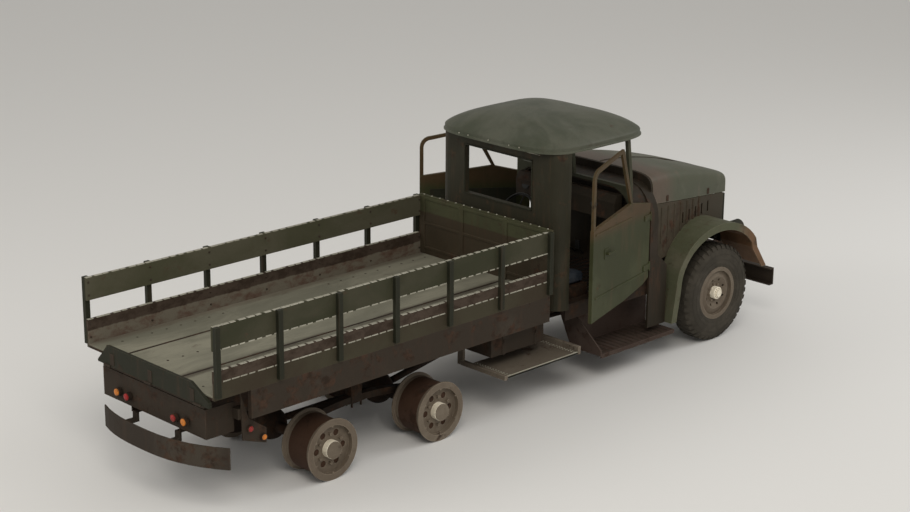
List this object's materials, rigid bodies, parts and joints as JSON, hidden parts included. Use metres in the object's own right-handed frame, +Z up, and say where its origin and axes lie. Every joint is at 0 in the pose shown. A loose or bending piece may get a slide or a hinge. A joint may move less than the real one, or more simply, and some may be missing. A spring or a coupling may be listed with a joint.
{
  "type": "military cargo truck",
  "caption": "Three-axle military cargo truck with a stake-sided flat bed, a round-roofed cab with open doors and bare rear rims.",
  "frame": {"origin": "centre of the top of the cargo floor, on the truck's centreline", "axes": "+X forward, +Y to the truck's left, +Z up"},
  "size_m": [8.5322, 2.8947, 2.918],
  "materials": {
    "olive_paint": "faded olive-green paint with rust streaks and chalky wear",
    "dark_green_paint": "dark green paint, dull, with rusty edges",
    "rusty_steel": "brown and reddish rust over worn paint",
    "brown_underbody": "dull brown dirt and rust",
    "pale_deck": "weathered grey-green planks with dark seams",
    "tyre_rubber": "worn grey rubber with dust",
    "rim_steel": "grey-tan painted steel with rust and pale hubs",
    "seat_cloth": "dark blue-grey leathercloth, worn",
    "black_plastic": "black, matt",
    "amber_lens": "amber lens, dusty",
    "red_lens": "red lens, dusty",
    "lamp_glass": "dull painted lamp bowl with a clear ribbed lens"
  },
  "bodies": {
    "chassis": {"chassis_frame": "brown_underbody", "engine": "rusty_steel", "driveline": "brown_underbody", "fuel_tank": "rusty_steel", "exhaust": "rusty_steel", "front_bumper": "rusty_steel", "rear_bumper": "rusty_steel", "rear_panel": "brown_underbody", "marker_lamps": "amber_lens", "leaf_springs": "brown_underbody", "front_axle": "brown_underbody", "rear_axles": "brown_underbody", "bed_frame": "rusty_steel", "bed_floor": "pale_deck", "side_boards_left": "olive_paint", "side_boards_right": "olive_paint", "stakes": "dark_green_paint", "headboard": "dark_green_paint", "cab_floor": "brown_underbody", "cab_back": "dark_green_paint", "cab_roof": "olive_paint", "cowl": "rusty_steel", "windshield_frame": "olive_paint", "dashboard": "brown_underbody", "seat_cushion": "seat_cloth", "seat_back": "seat_cloth", "steering_column": "brown_underbody", "hood_sides": "rusty_steel", "grille": "dark_green_paint", "fenders": "olive_paint", "headlamps": "lamp_glass", "running_boards": "rusty_steel", "side_trays": "brown_underbody"},
    "hood": {"hood": "olive_paint"},
    "door_left": {"door_left": "olive_paint"},
    "door_right": {"door_right": "olive_paint"},
    "tailgate": {"tailgate": "dark_green_paint"},
    "steering_wheel": {"steering_wheel": "black_plastic"},
    "knuckle_left": {"knuckle_left": "brown_underbody"},
    "knuckle_right": {"knuckle_right": "brown_underbody"},
    "wheel_front_left": {"tyre_front_left": "tyre_rubber", "rim_front_left": "rim_steel"},
    "wheel_front_right": {"tyre_front_right": "tyre_rubber", "rim_front_right": "rim_steel"},
    "wheel_rear_left_1": {"rear_wheel_left_1": "rim_steel"},
    "wheel_rear_left_2": {"rear_wheel_left_2": "rim_steel"},
    "wheel_rear_right_1": {"rear_wheel_right_1": "rim_steel"},
    "wheel_rear_right_2": {"rear_wheel_right_2": "rim_steel"}
  },
  "joints": [
    {"name": "steering", "type": "hinge", "parent": "chassis", "child": "knuckle_left", "pos_m": [5.097, 0.7, -0.675], "axis": [0, 0, 1], "range_deg": [-28, 28]},
    {"name": "steering_right", "type": "hinge", "parent": "chassis", "child": "knuckle_right", "pos_m": [5.097, -0.7, -0.675], "axis": [0, 0, 1], "range_deg": [-30, 30]},
    {"name": "steering_wheel_turn", "type": "hinge", "parent": "chassis", "child": "steering_wheel", "pos_m": [3.137, 0.42, 0.4], "axis": [-0.8192, 0, 0.5736], "range_deg": [-400, 400]},
    {"name": "wheel_front_left_spin", "type": "hinge", "parent": "knuckle_left", "child": "wheel_front_left", "pos_m": [5.097, 0.805, -0.675], "axis": [0, 1, 0], "continuous": true},
    {"name": "wheel_front_right_spin", "type": "hinge", "parent": "knuckle_right", "child": "wheel_front_right", "pos_m": [5.097, -0.805, -0.675], "axis": [0, 1, 0], "continuous": true},
    {"name": "wheel_rear_left_1_spin", "type": "hinge", "parent": "chassis", "child": "wheel_rear_left_1", "pos_m": [-0.763, 0.76, -0.929], "axis": [0, 1, 0], "continuous": true},
    {"name": "wheel_rear_left_2_spin", "type": "hinge", "parent": "chassis", "child": "wheel_rear_left_2", "pos_m": [0.667, 0.76, -0.929], "axis": [0, 1, 0], "continuous": true},
    {"name": "wheel_rear_right_1_spin", "type": "hinge", "parent": "chassis", "child": "wheel_rear_right_1", "pos_m": [-0.763, -0.76, -0.929], "axis": [0, 1, 0], "continuous": true},
    {"name": "wheel_rear_right_2_spin", "type": "hinge", "parent": "chassis", "child": "wheel_rear_right_2", "pos_m": [0.667, -0.76, -0.929], "axis": [0, 1, 0], "continuous": true},
    {"name": "door_left_hinge", "type": "hinge", "parent": "chassis", "child": "door_left", "pos_m": [3.881, 0.91, 0.36], "axis": [0, 0, -1], "range_deg": [-38, 32]},
    {"name": "door_right_hinge", "type": "hinge", "parent": "chassis", "child": "door_right", "pos_m": [3.881, -0.91, 0.36], "axis": [0, 0, 1], "range_deg": [-13, 57]},
    {"name": "hood_hinge", "type": "hinge", "parent": "chassis", "child": "hood", "pos_m": [4.029, 0, 0.91], "axis": [0, -1, 0], "range_deg": [0, 50]},
    {"name": "tailgate_hinge", "type": "hinge", "parent": "chassis", "child": "tailgate", "pos_m": [-2.238, 0, -0.112], "axis": [0, -1, 0], "range_deg": [0, 175]}
  ],
  "couplings": [
    {"joint": "steering_right", "follows": "steering", "ratio": 1},
    {"joint": "steering_wheel_turn", "follows": "steering", "ratio": 14}
  ]
}
